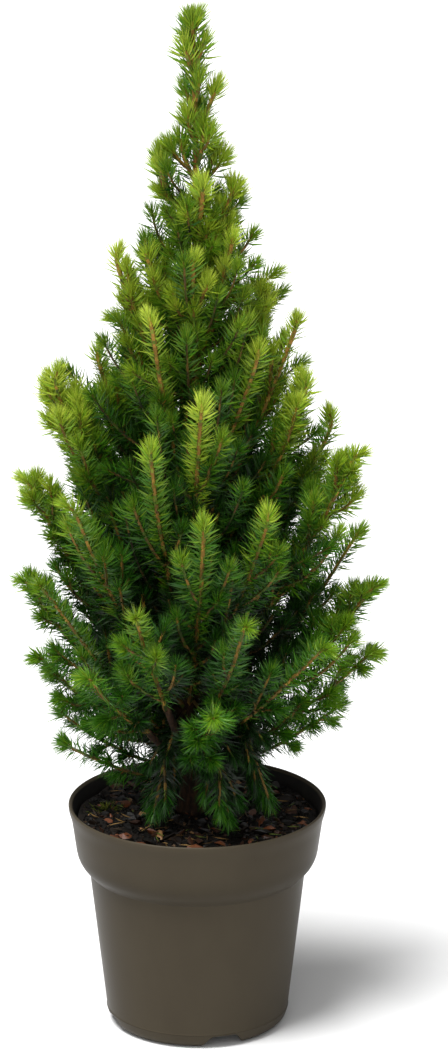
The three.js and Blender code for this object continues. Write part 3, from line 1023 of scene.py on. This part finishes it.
def notch_cutter(bearing):
    """A wedge through the foot ring, wide at the ground, with its top corners cut."""
    out = heading(math.radians(bearing))
    side = np.cross(UP, out)
    points = []
    for radius in NOTCH_RADII:
        points += [(radius * out + along * side + up * UP) * MM for along, up in NOTCH_OUTLINE]
    return prism("notch", points)


def drain_cutter(bearing):
    middle = DRAIN_PLACE * heading(math.radians(bearing))
    ring = [middle + DRAIN_RADIUS * heading(turn) for turn in turns_round(24)]
    return prism("drain", [point + height * UP for height in DRAIN_HEIGHTS for point in ring])


def build_pot():
    pot = new_piece("pot_shell", turned(rounded(POT_OUTLINE), ROUND_SIDES), [], ["pot"])
    cutters = [notch_cutter(bearing) for bearing in OPENING_BEARINGS]
    cut_away(pot, cutters + [drain_cutter(bearing) for bearing in OPENING_BEARINGS])
    pot.data.materials.clear()
    pot.data.materials.append(pot_material())
    pot.data.materials.append(pot_inside_material())
    low, high = SHADED_INSIDE_HEIGHTS
    # Inner faces between these heights get the inside material, its painted shade.
    for polygon in pot.data.polygons:
        inward = polygon.normal.xy @ polygon.center.xy < 0
        polygon.material_index = int(inward and low < polygon.center[2] < high)
        polygon.use_smooth = True
    pot.data.set_sharp_from_angle(angle=math.radians(32))


# ----- Growing medium -----

SOIL_EDGE = 60.2 * MM
SOIL_WALL = [(44, 8.5), (52.7, 81.5), (57.6, 87.8)]  # radius and height in millimetres
SOIL_RINGS = 52
TRUNK_CLEARANCE = 7.5 * MM  # of loose pieces

# Each size of lump: its height in millimetres, its width in metres, and its place in the noise.
SOIL_LUMPS = [(1.3, 0.016, 4), (0.9, 0.0045, 9), (0.5, 0.0018, 15)]


def soil_height(x, y):
    """The uneven top of the soil: low at the rim, higher at the trunk, lumpy all over."""
    radius = math.hypot(x, y)
    crown = 108.6 * MM + 1.8 * MM * (1 - min(radius / SOIL_EDGE, 1))
    lumps = sum(high * noise.noise(Vector((x / wide, y / wide, place))) for high, wide, place in SOIL_LUMPS)
    calm = min(1.0, radius / (9 * MM))
    return crown + lumps * MM * calm


def on_soil(x, y, lift=0.0):
    return np.array([x, y, soil_height(x, y) + lift])


def build_soil_body():
    """The soil as one solid: a lumpy top over sides that follow the pot's wall."""
    turns = turns_round(ROUND_SIDES)
    rings = []
    for radius, height in SOIL_WALL:
        rings.append([radius * MM * heading(t) + height * MM * UP for t in turns])
    for radius in np.linspace(SOIL_EDGE, 2 * MM, SOIL_RINGS):
        rings.append([on_soil(radius * math.cos(t), radius * math.sin(t)) for t in turns])
    points = np.array(rings).reshape(-1, 3)
    points = np.vstack([points, [[0, 0, SOIL_WALL[0][1] * MM], on_soil(0, 0)]])
    return points, ring_faces(len(rings), ROUND_SIDES)


def lump_shape(rng, corners, flat):
    """A rough lump, about one unit long: the hull of a few scattered points."""
    scratch = bmesh.new()
    for _ in range(corners):
        direction = unit(rng.normal(size=3))
        place = direction * rng.uniform(0.75, 1.0) * np.array([0.5, 0.5 * rng.uniform(0.5, 0.8), 0.5 * flat])
        scratch.verts.new(place)
    bmesh.ops.convex_hull(scratch, input=scratch.verts)
    loose = [vert for vert in scratch.verts if not vert.link_faces]
    bmesh.ops.delete(scratch, geom=loose, context="VERTS")
    bmesh.ops.triangulate(scratch, faces=scratch.faces)
    scratch.verts.index_update()
    points = np.array([vert.co[:] for vert in scratch.verts])
    triangles = np.array([[vert.index for vert in face.verts] for face in scratch.faces])
    scratch.free()
    return points, triangles


def turn_in(first, second, angle):
    """A turn by this angle from one axis to another."""
    matrix = np.eye(3)
    matrix[[first, second], [first, second]] = math.cos(angle)
    matrix[[second, first], [first, second]] = math.sin(angle), -math.sin(angle)
    return matrix


def turned_any_way(rng, tilt):
    spin = rng.uniform(0, 2 * math.pi)
    lean = rng.normal(0, tilt)
    roll = rng.uniform(0, 2 * math.pi)
    return turn_in(0, 1, spin) @ turn_in(1, 2, lean) @ turn_in(0, 1, roll)


def scattered(rng, shapes, count, smallest, largest, tilt, sunk, palette):
    """Lumps strewn over the soil; palette gives each colour's share."""
    parts = []
    shares = np.array(palette, float) / sum(palette)
    for _ in range(count):
        size = smallest + (largest - smallest) * rng.random() ** 1.7
        radius = (SOIL_EDGE - 0.35 * size - 0.5 * MM) * math.sqrt(rng.random())
        angle = rng.uniform(0, 2 * math.pi)
        x, y = radius * math.cos(angle), radius * math.sin(angle)
        if math.hypot(x - TRUNK_FOOT[0], y - TRUNK_FOOT[1]) < TRUNK_CLEARANCE:
            continue
        points, triangles = shapes[rng.integers(len(shapes))]
        placed = (points * size) @ turned_any_way(rng, tilt).T + on_soil(x, y, sunk * size)
        colour = rng.choice(len(shares), p=shares)
        parts.append((placed, triangles, np.full(len(triangles), colour)))
    return joined(parts)


BARK_CHIP_COLOURS = [(8, 6, 4), (18, 11, 6), (44, 25, 14), (84, 46, 24), (132, 98, 62)]
MOSS_COLOURS = [(20, 28, 6), (38, 48, 10), (62, 72, 18), (92, 98, 32)]
MOSS_PLACE = np.array([-45.0, 7.0]) * MM
MOSS_SPREAD = 3.2 * MM
DRY_COLOURS = [(38, 28, 16), (74, 56, 30), (118, 92, 52), (72, 84, 30)]
CRUMB_COLOURS = [(5, 4, 3), (11, 8, 5), (26, 17, 10), (70, 52, 34)]


def moss_needles(rng, count):
    """Fine blades from one spot."""
    spread = rng.normal(0, MOSS_SPREAD, (count, 2))
    bases = np.array([on_soil(*place) for place in MOSS_PLACE + spread])
    away = np.concatenate([spread / MOSS_SPREAD, rng.uniform(0.6, 2.0, (count, 1))], axis=1)
    aim = unit(away + rng.normal(0, 0.35, (count, 3)))
    length = rng.uniform(2.5, 5.5, (count, 1)) * MM
    middles = bases + 0.5 * length * aim
    tips = middles + 0.5 * length * unit(aim - 0.35 * UP)
    widths = rng.normal(0.26, 0.04, count) * MM
    return bases, middles, tips, widths, rng.integers(0, len(MOSS_COLOURS), count)


def fallen_needles(rng, count):
    radius = (SOIL_EDGE - 7 * MM) * np.sqrt(rng.random(count))
    turn = rng.uniform(0, 2 * math.pi, count)
    places = np.stack([radius * np.cos(turn), radius * np.sin(turn)], axis=1)
    bearing = rng.uniform(0, 2 * math.pi, count)
    aim = np.stack([np.cos(bearing), np.sin(bearing), rng.normal(0.08, 0.1, count)], axis=1)
    length = rng.normal(9.0, 1.2, (count, 1)) * MM
    middles = np.array([on_soil(*place, lift=1.6 * MM) for place in places])
    bases = middles - 0.5 * length * aim
    tips = middles + 0.5 * length * aim + 0.8 * MM * np.cross(aim, UP)
    widths = rng.normal(0.24, 0.03, count) * MM
    return bases, middles, tips, widths, rng.integers(0, len(DRY_COLOURS), count)


def build_soil():
    new_piece("soil_body", build_soil_body(), [soil_material()], ["soil"], smooth=True)
    rng = np.random.default_rng(77)
    chips = [lump_shape(rng, 12, 0.30) for _ in range(10)]
    made = scattered(rng, chips, 480, 3.5 * MM, 12.5 * MM, 0.5, 0.05, [9, 6, 4, 3, 1])
    new_piece("bark_chips", made, plain_materials("chip", BARK_CHIP_COLOURS, 0.45, 0.2), [])
    crumbs = [lump_shape(rng, 9, 0.8) for _ in range(8)]
    made = scattered(rng, crumbs, 2600, 0.8 * MM, 3.0 * MM, 1.0, 0.18, [8, 6, 3, 1])
    new_piece("peat_crumbs", made, plain_materials("crumb", CRUMB_COLOURS, 0.6, 0.15), [])
    made = needle_mesh([moss_needles(rng, count=110)])
    new_piece("moss", made, plain_materials("moss", MOSS_COLOURS, 0.6, 0.2), [])
    made = needle_mesh([fallen_needles(rng, count=130)])
    new_piece("fallen_needles", made, plain_materials("dry_needle", DRY_COLOURS, 0.6, 0.2), [])


# ----- Foliage -----

FOLIAGE_SEED = 852
NEEDLE_FACES = 4


def build_foliage():
    twigs = []
    pieces = [([], [])]  # needles, and the masses they are on
    held = 0
    inner = grow_inner(np.random.default_rng(FOLIAGE_SEED))
    share = len(inner) // len(MASSES)
    for index, name in enumerate(MASSES):
        rng = np.random.default_rng([FOLIAGE_SEED, index])
        shoots = grow_mass(name, rng)
        bough = name.replace("mass_", "bough_")
        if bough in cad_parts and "front" not in bough:
            shoots += grow_bough(bough, rng)
        stop = (index + 1) * share if index < len(MASSES) - 1 else len(inner)
        shoots += inner[index * share:stop]
        twigs += [twig_part(shoot, rng) for shoot in shoots if shoot.kind is not LEADER]
        grown = [batch for batch in (needles_on(shoot, rng) for shoot in shoots) if batch is not None]
        triangles = NEEDLE_FACES * sum(len(batch[0]) for batch in grown)
        if held + triangles > NEEDLE_PIECE_LIMIT:
            pieces.append(([], []))
            held = 0
        pieces[-1][0].extend(grown)
        pieces[-1][1].append(name)
        held += triangles
    for number, (batches, nodes) in enumerate(pieces, start=1):
        new_piece(f"needles_{number}", needle_mesh(batches), NEEDLE_MATERIALS, nodes)
    new_piece("twigs", joined(twigs), TWIG_MATERIALS, [])


build_foliage()
build_wood()
build_pot()
build_soil()


# ----- Floor, light and camera -----

AMBIENT_STRENGTH = 0.28
CAMERA_TILT = 18.26  # degrees below level


def add_sun(name, strength, spread, toward):
    """A soft distant light; spread is how wide its source looks, in degrees."""
    light = bpy.data.lights.new(name, "SUN")
    light.energy = strength
    light.angle = math.radians(spread)
    holder = in_scene(name, light)
    holder.location = (-1.5, -1.5, 2.0)
    holder.rotation_euler = Vector(toward).to_track_quat("-Z", "Y").to_euler()


def build_stage():
    bpy.ops.mesh.primitive_plane_add(size=24, location=(0, 0, 0))
    floor = bpy.context.object
    floor.name = "floor"
    floor.data.materials.append(new_material("floor_white", (0.72, 0.72, 0.72, 1.0), 0.9, 0.0))

    world = bpy.data.worlds.new("studio")
    world.use_nodes = True
    background = world.node_tree.nodes["Background"]
    background.inputs["Color"].default_value = (1.0, 1.0, 1.0, 1.0)
    background.inputs["Strength"].default_value = AMBIENT_STRENGTH
    bpy.context.scene.world = world

    add_sun("key", 5.7, 26, (0.24, 0.24, -0.94))
    add_sun("fill", 1.5, 70, (0.10, 0.85, -0.50))


def build_camera():
    camera = bpy.data.cameras.new("camera")
    camera.sensor_width = 36
    camera.lens = 232.5
    camera.clip_end = 30
    holder = in_scene("camera", camera)
    holder.location = (0, -3.2, 1.319)
    holder.rotation_euler = [math.radians(degrees) for degrees in (90 - CAMERA_TILT, 0, -0.241)]
    bpy.context.scene.camera = holder


build_stage()
build_camera()
bpy.context.scene.view_settings.view_transform = "Standard"
